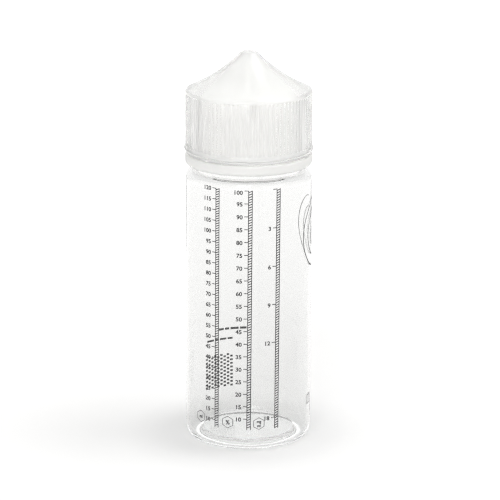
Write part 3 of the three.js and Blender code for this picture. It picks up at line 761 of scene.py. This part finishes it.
def outer_cap_outline():
    ceiling = flank_head - SHELL_WALL * tip_sine
    ceiling_level = flank_level(ceiling, SHELL_WALL)
    ceiling_share, ceiling_lift = CEILING_MIDDLE
    tip_slope = math.degrees(math.asin(tip_sine))
    retainer = SKIRT_OUTER - RETAINER_BITE
    points = [(0, ceiling_level + CEILING_RISE), (ceiling * ceiling_share, ceiling_level + ceiling_lift)]
    points += flank(ceiling, SHELL_INNER - SHELL_INNER_ROUND, SHELL_WALL)
    inner_edge = flank_level(SHELL_INNER, SHELL_WALL)
    corner_inset, corner_drop = SHELL_INNER_CORNER
    points += [(SHELL_INNER - corner_inset, inner_edge - corner_drop)]
    points += [(SHELL_INNER, inner_edge - SHELL_INNER_ROUND)]
    points += [(SHELL_INNER, SHELL_FOOT + RETAINER_TOP), (retainer, SHELL_FOOT + RETAINER_EDGE)]
    retainer_centre = (retainer + RETAINER_ROUND, SHELL_FOOT + RETAINER_ROUND)
    points += round_edge(*retainer_centre, RETAINER_ROUND, 180, 270, 4)
    lip_centre = (FOOT_LIP_RADIUS - FOOT_LIP_ROUND, SHELL_FOOT + FOOT_LIP_ROUND)
    points += round_edge(*lip_centre, FOOT_LIP_ROUND, -90, 0, 4)
    points += [(FOOT_LIP_RADIUS, SHELL_FOOT + FOOT_LIP_TOP)]
    bead_level = SHELL_FOOT + CAP_BEAD_LIFT
    dip_inset, dip_drop = CAP_BEAD_DIP
    points += [(CAP_BEAD - dip_inset, bead_level - dip_drop)]
    points += arc(CAP_BEAD - CAP_BEAD_ROUND, bead_level, CAP_BEAD_ROUND, CAP_BEAD_ROUND_RISE, -60, 60, 8)
    root_reach, root_drop = RIB_ROOT
    points += [(EDGE_RADIUS + root_reach, RIB_FOOT - root_drop), (EDGE_RADIUS, RIB_FOOT - RIB_ROOT_TOP)]
    points += [(RIB_TIP, RIB_FOOT + run) for run in RIB_RUN_ROWS]
    points += [(RIB_TIP, DOME_EDGE - run) for run in reversed(RIB_RUN_ROWS)]
    edge_centre = (EDGE_RADIUS - EDGE_ROUND, DOME_EDGE + EDGE_LIFT)
    points += arc(*edge_centre, EDGE_ROUND, EDGE_ROUND - EDGE_LIFT, 0, 90 - EDGE_SLOPE, 10)
    points += flank(flank_foot, flank_head, 0, 24)[1:]
    points += round_edge(TIP_FLAT, CAP_TOP - TIP_ROUND, TIP_ROUND, 90 - tip_slope, 90, 8)[1:]
    points += [(0, CAP_TOP)]
    return points


# Print. Flat shapes lie in (along the girth, height, thickness) and are then laid on the body's wall.
def wrap_on_body(piece, azimuth):
    for vertex in piece.data.vertices:
        along, height, lift = vertex.co
        lean = math.radians(PRINT_LEAN * (WALL_TOP - height) / (WALL_TOP - BAR_FOOT))
        angle = math.radians(azimuth) + along / BODY_RADIUS - lean
        radius = BODY_RADIUS + INK_LIFT + lift
        vertex.co = (radius * math.sin(angle) * MM, -radius * math.cos(angle) * MM, height * MM)
    return piece


def strokes(tree, ink, **sizes):
    blank = mesh_object("strokes", [], [])
    named = {"Thickness": INK_THICKNESS, "Width": LINE_WIDTH, "Along": 0.0, "Slant": 0.0}
    named.update({label.title(): value for label, value in sizes.items()})
    return grown(blank, tree, named, ink)


def words(text, along, level, height=FIGURE_HEIGHT, squeeze=FIGURE_SQUEEZE, align="RIGHT"):
    """Plain figures as a thin flat solid that ends, or with align CENTER is centred, at along."""
    curve = bpy.data.curves.new("figures", "FONT")
    curve.body = text
    curve.align_x = align
    curve.size = height / FIGURE_SHARE
    curve.extrude = INK_THICKNESS / 2
    curve.offset = FIGURE_WEIGHT
    curve.resolution_u = 3
    holder = bpy.data.objects.new("figures", curve)
    bpy.context.scene.collection.objects.link(holder)
    graph = bpy.context.evaluated_depsgraph_get()
    mesh = bpy.data.meshes.new_from_object(holder.evaluated_get(graph))
    bpy.data.objects.remove(holder)
    place = Matrix.Translation((along, level - height / 2, INK_THICKNESS / 2))
    mesh.transform(place @ Matrix.Diagonal((squeeze, 1, 1, 1)))
    piece = bpy.data.objects.new("figures", mesh)
    bpy.context.scene.collection.objects.link(piece)
    return piece


def outline_strip(points, width, closed=True):
    """A thin flat strip that follows the points, mitred at its corners."""
    count = len(points)
    verts = []
    for i, point in enumerate(points):
        here = Vector(point)
        before = Vector(points[i - 1]) if closed or i else here
        after = Vector(points[(i + 1) % count]) if closed or i < count - 1 else here
        first = (here - before).normalized() if here != before else (after - here).normalized()
        second = (after - here).normalized() if here != after else first
        side = Vector((-(first + second).y, (first + second).x)).normalized()
        mitre = width / 2 / max(0.3, side.dot(Vector((-first.y, first.x))))
        for offset in (mitre, -mitre):
            edge = here + side * offset
            verts += [(edge.x, edge.y, 0), (edge.x, edge.y, INK_THICKNESS)]
    faces = []
    for i in range(count if closed else count - 1):
        a, b = 4 * i, 4 * ((i + 1) % count)
        faces += [(a + 1, a + 3, b + 3, b + 1), (a, b, b + 2, a + 2)]
        faces += [(a, a + 1, b + 1, b), (a + 2, b + 2, b + 3, a + 3)]
    if not closed:
        last = 4 * (count - 1)
        faces += [(0, 2, 3, 1), (last, last + 1, last + 3, last + 2)]
    return mesh_object("strip", verts, faces)


def polygon(sides, radius, level, start, along=0.0):
    angles = [math.radians(start + 360 * i / sides) for i in range(sides)]
    return [(along + radius * math.cos(a), level + radius * math.sin(a)) for a in angles]


def printed_scale(name, node, labels, tree, ink, azimuth, first_level, step, hatch_pitch):
    """One scale: two rails, the hatching between them, ticks and figures. A label of None has no tick."""
    half = BAR_WIDTH / 2
    head = top(node)
    rail = {"count": 1, "first": (head + BAR_FOOT) / 2, "length": RAIL_WIDTH, "width": head - BAR_FOOT}
    parts = []
    for side in (-1, 1):
        parts.append(strokes(tree, ink, along=side * (half - RAIL_WIDTH / 2), **rail))
    slant = math.radians(HATCH_SLANT)
    hatch = {
        "count": int((head - BAR_FOOT) / hatch_pitch),
        "pitch": -hatch_pitch,
        "first": head - hatch_pitch / 2,
        "length": (BAR_WIDTH - RAIL_WIDTH) / math.cos(slant),
        "width": HATCH_WIDTH,
        "slant": slant,
    }
    parts.append(strokes(tree, ink, **hatch))
    tick_along = -half - TICK_LENGTH / 2
    for i, label in enumerate(labels):
        level = first_level - i * step
        if label is None:
            continue
        parts.append(strokes(tree, ink, count=1, first=level, along=tick_along, length=TICK_LENGTH))
        if label:
            drop = HEAD_FIGURE_DROP if label == "100" and i == 0 else FIGURE_DROP
            parts.append(words(label, -half - TICK_LENGTH - FIGURE_GAP, level - drop))
    piece = join_into(*parts)
    piece.name = name
    wrap_on_body(piece, azimuth)
    piece.data.materials.append(ink)
    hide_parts(node)
    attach(piece, "bottle_body")


def printed_badge(name, node, azimuth, marks, ink):
    """A hexagon that stands on its point, with small plain marks in it."""
    level = (top(node) + foot(node)) / 2
    radius = (top(node) - foot(node)) / 2
    parts = [outline_strip(polygon(6, radius - BADGE_LINE / 2, level, 30), BADGE_LINE)]
    for text, lift, height in marks:
        parts.append(words(text, 0.0, level + lift, height, BADGE_SQUEEZE, "CENTER"))
    piece = join_into(*parts)
    piece.name = name
    wrap_on_body(piece, azimuth)
    piece.data.materials.append(ink)
    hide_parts(node)
    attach(piece, "bottle_body")


def printed_shapes(name, azimuth, parts, ink):
    piece = join_into(*parts)
    piece.name = name
    wrap_on_body(piece, azimuth)
    piece.data.materials.append(ink)
    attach(piece, "bottle_body")


def rear_print(tree, ink):
    """Two rows of plain dashes and an even block of dots on the far side."""
    parts = []
    for level, start, lengths, width in DASH_ROWS:
        along = start
        for length in lengths:
            dash = {"first": level, "along": along + length / 2, "length": length, "width": width}
            parts.append(strokes(tree, ink, count=1, **dash))
            along += length + DASH_GAP
    dots_along, dots_foot = DOT_START
    for column in range(DOT_COLUMNS):
        shift = DOT_PITCH / 2 if column % 2 else 0
        along = dots_along + column * DOT_COLUMN_PITCH
        dots = {"count": DOT_ROWS, "pitch": DOT_PITCH, "first": dots_foot + shift, "along": along}
        parts.append(strokes(tree, ink, length=DOT_LENGTH, width=DOT_WIDTH, **dots))
    printed_shapes("rear_print", REAR_AZIMUTH, parts, ink)


def side_print(ink):
    """A plain round frame with a drop in it."""
    parts = []
    for radius, width in SIDE_RINGS:
        parts.append(outline_strip(polygon(RING_SIDES, radius, SIDE_LEVEL, 0), width))
    drop = [(0.0, SIDE_LEVEL + DROP_PEAK)]
    drop_level = SIDE_LEVEL - DROP_SINK
    for i in range(DROP_STEPS + 1):
        angle = math.radians(DROP_START - DROP_SWEEP * i / DROP_STEPS)
        drop.append((DROP_RADIUS * math.cos(angle), drop_level + DROP_RADIUS * math.sin(angle)))
    parts.append(outline_strip(drop, DROP_LINE))
    printed_shapes("side_print", SIDE_AZIMUTH, parts, ink)


def foot_print(ink):
    """A plain square near the foot."""
    parts = [outline_strip(polygon(4, FOOT_MARK_RADIUS, FOOT_MARK_LEVEL, 45), LINE_WIDTH)]
    printed_shapes("foot_print", FOOT_MARK_AZIMUTH, parts, ink)


# Pieces
def make_bottle(plastic):
    piece = turned("bottle_shell", bottle_outline())
    piece.data.materials.append(plastic)
    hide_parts("bottle")
    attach(piece, "bottle_body")


def make_thread(plastic):
    """A helical ridge on the neck, with tapered ends."""
    half = THREAD_WIDTH / 2
    crest = half * THREAD_CREST
    verts = []
    rows = []
    for i in range(THREAD_STEPS + 1):
        share = i / THREAD_STEPS
        angle = 2 * math.pi * THREAD_TURNS * share
        middle = THREAD_FOOT + THREAD_PITCH * THREAD_TURNS * share
        depth = THREAD_DEPTH * min(1, share * THREAD_FADE, (1 - share) * THREAD_FADE)
        row = []
        for out, up in [(-THREAD_SEAT, -half), (depth, -crest), (depth, crest), (-THREAD_SEAT, half)]:
            row.append(len(verts))
            radius = NECK_RADIUS + out
            verts.append((radius * math.cos(angle) * MM, radius * math.sin(angle) * MM, (middle + up) * MM))
        rows.append(row)
    faces = [tuple(reversed(rows[0])), tuple(rows[-1])]
    for low, high in zip(rows, rows[1:]):
        for j in range(4):
            k = (j + 1) % 4
            faces.append((low[k], high[k], high[j], low[j]))
    piece = smooth(mesh_object("neck_thread", verts, faces), 40)
    piece.data.materials.append(plastic)
    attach(piece, "bottle_body")


def make_ring(plastic):
    piece = turned("tamper_ring_band", ring_outline(), closed=True)
    piece.data.materials.append(plastic)
    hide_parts("tamper_ring")
    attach(piece, "bottle_body")


def make_tip(plastic):
    piece = turned("dropper_spout", tip_outline(), segments=SPOUT_SEGMENTS, closed=True)
    piece.data.materials.append(plastic)
    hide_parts("dropper_tip")
    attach(piece, "bottle_body")


def make_inner_cap(tree, plastic):
    piece = turned("inner_cap_shell", inner_cap_outline())
    piece.data.materials.append(plastic)
    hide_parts("inner_cap")
    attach(piece, "inner_cap_body")
    low, high = LEDGE_LEVEL - TOOTH_SEAT, LEDGE_LEVEL + TOOTH_HEIGHT
    inner, outer = CROWN_OUTER - TOOTH_SEAT, SKIRT_OUTER - TOOTH_INSET
    tooth_outline = [(inner, low), (outer, low), (outer, high), (inner, high)]
    tooth = plate("ratchet_teeth", tooth_outline, TOOTH_WIDTH, 0)
    start = math.radians(LUG_AZIMUTH + 180 / TOOTH_COUNT)
    grown(tooth, tree, {"Count": TOOTH_COUNT, "Start": start}, plastic)
    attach(tooth, "inner_cap_body")


def make_outer_cap(rib_nodes, tree, plastic):
    piece = turned("outer_cap_shell", outer_cap_outline(), segments=RIB_COUNT * RIB_SAMPLES)
    sizes = {
        "Count": RIB_COUNT,
        "Depth": RIB_DEPTH * MM,
        "Foot": (RIB_FOOT + RIB_START) * MM,
        "Top": (DOME_EDGE - RIB_END) * MM,
        "Run": RIB_RUN * MM,
        "Wall": (RIB_VALLEY - RIB_SKIN) * MM,
        "Tip": RIB_TIP_SHARE,
        "Valley": RIB_VALLEY_SHARE,
    }
    grown(piece, rib_nodes, sizes, plastic)
    smooth(piece)
    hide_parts("outer_cap")
    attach(piece, "outer_cap_body")
    lug_foot = LEDGE_LEVEL + TOOTH_HEIGHT + LUG_CLEARANCE
    lug_inner = SHELL_INNER - LUG_DEPTH
    root = SHELL_INNER + LUG_SEAT
    lug_outline = [(lug_inner, lug_foot), (root, lug_foot), (root, flank_level(root, SHELL_WALL * LUG_ROOF))]
    lug_outline += [(lug_inner, flank_level(lug_inner, SHELL_WALL * LUG_ROOF))]
    lug = plate("drive_lugs", lug_outline, LUG_WIDTH, 0)
    head = flank_head - SHELL_WALL * tip_sine
    web_outline = flank(SHELL_INNER, head, SHELL_WALL + WEB_DEPTH, 12)
    web_outline += flank(head, SHELL_INNER, SHELL_WALL - WEB_SEAT, 12)
    web = plate("dome_webs", web_outline, WEB_WIDTH, 0)
    start = math.radians(LUG_AZIMUTH)
    for part in (lug, web):
        grown(part, tree, {"Count": LUG_COUNT, "Start": start}, plastic)
        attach(part, "outer_cap_body")


# Stage
CAMERA_DISTANCE = 897.9
CAMERA_HEIGHT = 309.7
CAMERA_SIDE = 0.5
CAMERA_PITCH = 15.198
CAMERA_ROLL = 0.16
CAMERA_LENS = 194.94
SENSOR_WIDTH = 36
LAMP_AIM = (0, 0, 0.07)
AMBIENT = 0.68
BACKDROP_SHADE = (0.3, (0.62, 0.625, 0.63))
BACKDROP_WHITE = (0.62, (1, 1, 1))
FLOOR_HALF = 3.0
FLOOR_REACH = 0.6
# How much the floor is lifted at a distance in metres: a painted pool of light under the clear base,
# standing in for the light it would gather, a painted shadow ring round its edge, and a lift that grows with
# distance over the rest
FLOOR_PAINTED_LIGHT_AND_SHADE = ((0.0, 0.38), (0.016, 0.36), (0.0215, 0.0), (0.028, 0.01), (0.045, 0.1), (0.6, 0.38))


def make_camera():
    data = bpy.data.cameras.new("camera")
    data.lens = CAMERA_LENS
    data.sensor_width = SENSOR_WIDTH
    camera = bpy.data.objects.new("camera", data)
    bpy.context.scene.collection.objects.link(camera)
    tilt = Matrix.Rotation(math.radians(90 - CAMERA_PITCH), 4, "X")
    roll = Matrix.Rotation(math.radians(CAMERA_ROLL), 4, "Z")
    place = Matrix.Translation((CAMERA_SIDE * MM, -CAMERA_DISTANCE * MM, CAMERA_HEIGHT * MM))
    camera.matrix_world = place @ tilt @ roll
    bpy.context.scene.camera = camera


def seen_directly(nodes, links):
    """1 for rays that look at the background: from the camera, in a reflection or through glass."""
    path = nodes.new("ShaderNodeLightPath")
    first = nodes.new("ShaderNodeMath")
    first.operation = "MAXIMUM"
    second = nodes.new("ShaderNodeMath")
    second.operation = "MAXIMUM"
    links.new(path.outputs["Is Camera Ray"], first.inputs[0])
    links.new(path.outputs["Is Glossy Ray"], first.inputs[1])
    links.new(first.outputs[0], second.inputs[0])
    links.new(path.outputs["Is Transmission Ray"], second.inputs[1])
    return second.outputs[0]


def make_world():
    world = bpy.data.worlds.new("studio")
    bpy.context.scene.world = world
    world.use_nodes = True
    nodes, links = world.node_tree.nodes, world.node_tree.links
    lit = nodes["Background"]
    lit.inputs["Color"].default_value = (1.0, 0.995, 0.985, 1)
    lit.inputs["Strength"].default_value = AMBIENT
    seen = nodes.new("ShaderNodeBackground")
    place = nodes.new("ShaderNodeTexCoord")
    split = nodes.new("ShaderNodeSeparateXYZ")
    links.new(place.outputs["Generated"], split.inputs[0])
    ramp = nodes.new("ShaderNodeValToRGB")
    for stop, (place_, colour) in zip(ramp.color_ramp.elements, (BACKDROP_SHADE, BACKDROP_WHITE)):
        stop.position = place_
        stop.color = (*colour, 1)
    spread = nodes.new("ShaderNodeMapRange")
    spread.inputs["From Min"].default_value = -1
    spread.inputs["From Max"].default_value = 1
    links.new(split.outputs["Y"], spread.inputs["Value"])
    links.new(spread.outputs["Result"], ramp.inputs["Fac"])
    links.new(ramp.outputs["Color"], seen.inputs["Color"])
    mix = nodes.new("ShaderNodeMixShader")
    links.new(seen_directly(nodes, links), mix.inputs[0])
    links.new(lit.outputs[0], mix.inputs[1])
    links.new(seen.outputs[0], mix.inputs[2])
    links.new(mix.outputs[0], nodes["World Output"].inputs["Surface"])


def make_floor():
    half = FLOOR_HALF
    corners = [(-half, -half, 0), (half, -half, 0), (half, half, 0), (-half, half, 0)]
    floor = mesh_object("floor", corners, [(0, 1, 2, 3)])
    material = bpy.data.materials.new("white_paper_floor")
    material.use_nodes = True
    nodes, links = material.node_tree.nodes, material.node_tree.links
    paper = nodes["Principled BSDF"]
    paper.inputs["Base Color"].default_value = (0.95, 0.95, 0.95, 1)
    paper.inputs["Roughness"].default_value = 1.0
    paper.inputs["Specular IOR Level"].default_value = 0.0
    # Emission seen directly: a painted pool of light under the base, a painted contact shadow ring round it,
    # then a lift to white further off
    lift = nodes.new("ShaderNodeEmission")
    gain = nodes.new("ShaderNodeMath")
    gain.operation = "MULTIPLY"
    place = nodes.new("ShaderNodeTexCoord")
    away = nodes.new("ShaderNodeVectorMath")
    away.operation = "LENGTH"
    spread = nodes.new("ShaderNodeMapRange")
    spread.inputs["From Max"].default_value = FLOOR_REACH
    ramp = nodes.new("ShaderNodeValToRGB")
    stops = ramp.color_ramp.elements
    while len(stops) < len(FLOOR_PAINTED_LIGHT_AND_SHADE):
        stops.new(0.5)
    for stop, (distance, strength) in zip(stops, FLOOR_PAINTED_LIGHT_AND_SHADE):
        stop.position = distance / FLOOR_REACH
        stop.color = (strength, strength, strength, 1)
    links.new(place.outputs["Object"], away.inputs[0])
    links.new(away.outputs["Value"], spread.inputs["Value"])
    links.new(spread.outputs["Result"], ramp.inputs["Fac"])
    links.new(ramp.outputs["Color"], gain.inputs[1])
    links.new(seen_directly(nodes, links), gain.inputs[0])
    links.new(gain.outputs[0], lift.inputs["Strength"])
    add = nodes.new("ShaderNodeAddShader")
    links.new(paper.outputs[0], add.inputs[0])
    links.new(lift.outputs[0], add.inputs[1])
    links.new(add.outputs[0], nodes["Material Output"].inputs["Surface"])
    floor.data.materials.append(material)


def make_light(name, place, size, power):
    data = bpy.data.lights.new(name, "AREA")
    data.shape = "RECTANGLE"
    data.size, data.size_y = size
    data.energy = power
    light = bpy.data.objects.new(name, data)
    bpy.context.scene.collection.objects.link(light)
    light.location = place
    towards = Vector(LAMP_AIM) - Vector(place)
    light.rotation_mode = "QUATERNION"
    light.rotation_quaternion = towards.to_track_quat("-Z", "Y")


def make_stage():
    make_camera()
    make_world()
    make_floor()
    make_light("key_softbox", place=(0.5, 0.0, 1.1), size=(0.5, 0.5), power=3.0)
    make_light("front_softbox", place=(-0.2, -1.1, 0.9), size=(0.6, 0.6), power=5.0)
    bpy.context.scene.view_settings.view_transform = "Standard"
    cycles = bpy.context.scene.cycles
    # Light bounces many times inside the clear walls
    cycles.transparent_max_bounces = 32
    cycles.transmission_bounces = 24
    cycles.glossy_bounces = 24
    cycles.diffuse_bounces = 8
    cycles.max_bounces = 32
    # The fine hatching stays crisp
    cycles.denoising_prefilter = "NONE"
    cycles.filter_width = 1.3


def main():
    make_stage()
    bottle_plastic = clear_blown_plastic()
    cap_plastic = clear_cap_plastic()
    milky = milky_plastic("milky_cap_plastic", 0.2, 0.8)
    soft_milky = milky_plastic("milky_spout_plastic", 0.3, 0.8)
    ring_plastic = milky_plastic("milky_ring_plastic", 0.35, 0.75)
    ink = screen_ink()
    ribs, ring, print_strokes = rib_tree(), ring_tree(), stroke_tree()

    make_bottle(bottle_plastic)
    make_thread(bottle_plastic)
    make_ring(ring_plastic)
    make_tip(soft_milky)
    make_inner_cap(ring, milky)
    make_outer_cap(ribs, ring, cap_plastic)

    volume = [str(value) for value in range(120, 5, -5)]
    percent = [str(value) for value in range(100, 5, -5)]
    strength = ["", "3", "6", "9", "12", None, "18"]
    printed_scale("volume_print", "volume_scale", volume, print_strokes, ink, **VOLUME_LAYOUT)
    printed_scale("percent_print", "percent_scale", percent, print_strokes, ink, **PERCENT_LAYOUT)
    printed_scale("strength_print", "strength_scale", strength, print_strokes, ink, **STRENGTH_LAYOUT)
    printed_badge("volume_mark", "volume_badge", VOLUME_BADGE_AZIMUTH, [("ml", 0.0, 1.2)], ink)
    printed_badge("percent_mark", "percent_badge", PERCENT_BADGE_AZIMUTH, [("%", 0.0, 1.6)], ink)
    strength_marks = [("mg", 0.75, 1.0), ("ml", -0.75, 1.0)]
    printed_badge("strength_mark", "strength_badge", STRENGTH_BADGE_AZIMUTH, strength_marks, ink)
    rear_print(print_strokes, ink)
    side_print(ink)
    foot_print(ink)


main()
